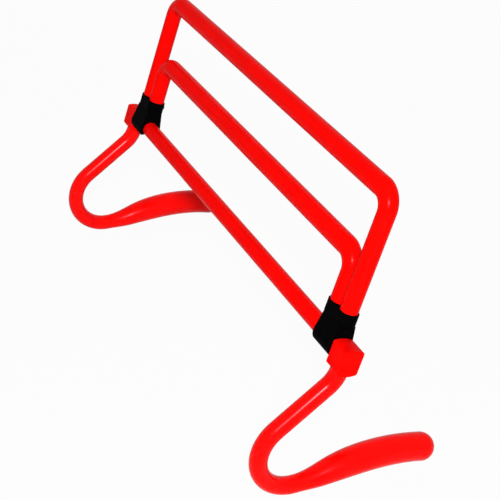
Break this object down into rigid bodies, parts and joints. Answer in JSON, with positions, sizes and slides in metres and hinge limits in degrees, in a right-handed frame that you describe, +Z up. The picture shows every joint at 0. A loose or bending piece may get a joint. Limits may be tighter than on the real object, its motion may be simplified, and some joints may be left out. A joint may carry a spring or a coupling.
{
  "type": "speed hurdle",
  "caption": "Low training hurdle: bars on nested tube hoops whose clip hubs turn on a lower bar, carried by bent feet that swell into round ground clubs.",
  "frame": {"origin": "on the floor, under the middle of the part's width and depth", "axes": "+X along the bars towards the right foot, +Y from the heels to the foot tips, +Z up"},
  "size_m": [0.543, 0.199, 0.3017],
  "materials": {
    "red_tube": "smooth gloss",
    "red_moulding": "satin gloss",
    "black_moulding": "matte moulded",
    "screw_steel": "black oxide"
  },
  "bodies": {
    "base": {"lower_bar": "red_tube", "right_head": "red_moulding", "left_head": "red_moulding", "right_foot": "red_tube", "left_foot": "red_tube", "right_foot_cap": "red_moulding", "left_foot_cap": "red_moulding", "right_foot_plug": "black_moulding", "left_foot_plug": "black_moulding", "foot_screws": "screw_steel", "bar_screws": "screw_steel"},
    "frame": {"outer_hoop": "red_tube", "inner_hoop": "red_tube", "right_hub": "black_moulding", "left_hub": "black_moulding", "right_outer_leg_plug": "black_moulding", "left_outer_leg_plug": "black_moulding", "right_inner_leg_plug": "black_moulding", "left_inner_leg_plug": "black_moulding", "outer_hoop_screws": "screw_steel", "inner_hoop_screws": "screw_steel"}
  },
  "joints": [
    {"name": "frame_tilt", "type": "hinge", "parent": "base", "child": "frame", "pos_m": [0, -0.01321, 0.1478], "axis": [1, 0, 0], "range_deg": [-115, 135]}
  ]
}
